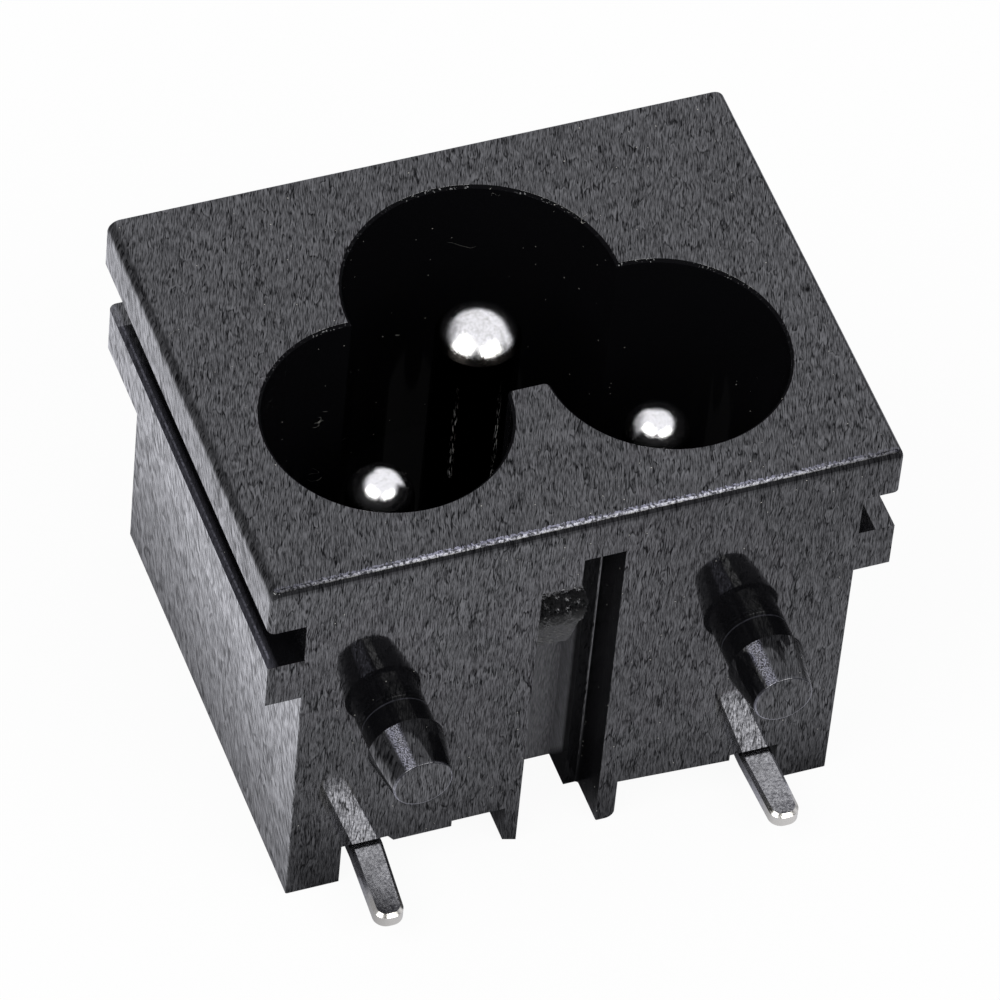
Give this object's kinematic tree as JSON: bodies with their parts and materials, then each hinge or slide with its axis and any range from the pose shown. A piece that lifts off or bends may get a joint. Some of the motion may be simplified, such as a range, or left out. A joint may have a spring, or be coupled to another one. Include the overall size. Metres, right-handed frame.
{
  "type": "cloverleaf power connector",
  "caption": "Board-mount appliance inlet: black flanged housing with a three-lobe recess around round power and earth pins, panel slots, snap pegs and solder tails.",
  "frame": {"origin": "on the rear plane of the housing, midway between the line and neutral pin axes", "axes": "+Z leaves the mating face along the pins, +X runs along the flange from line to neutral, -Y leaves the board face"},
  "size_m": [0.0224, 0.0206, 0.0162],
  "materials": {
    "housing_plastic": "gloss",
    "plated_contact": "nickel plated",
    "plated_strip": "tin plated"
  },
  "bodies": {
    "root": {"housing": "housing_plastic", "line_pin": "plated_contact", "neutral_pin": "plated_contact", "earth_pin": "plated_contact", "line_terminal": "plated_strip", "neutral_terminal": "plated_strip"}
  },
  "joints": []
}
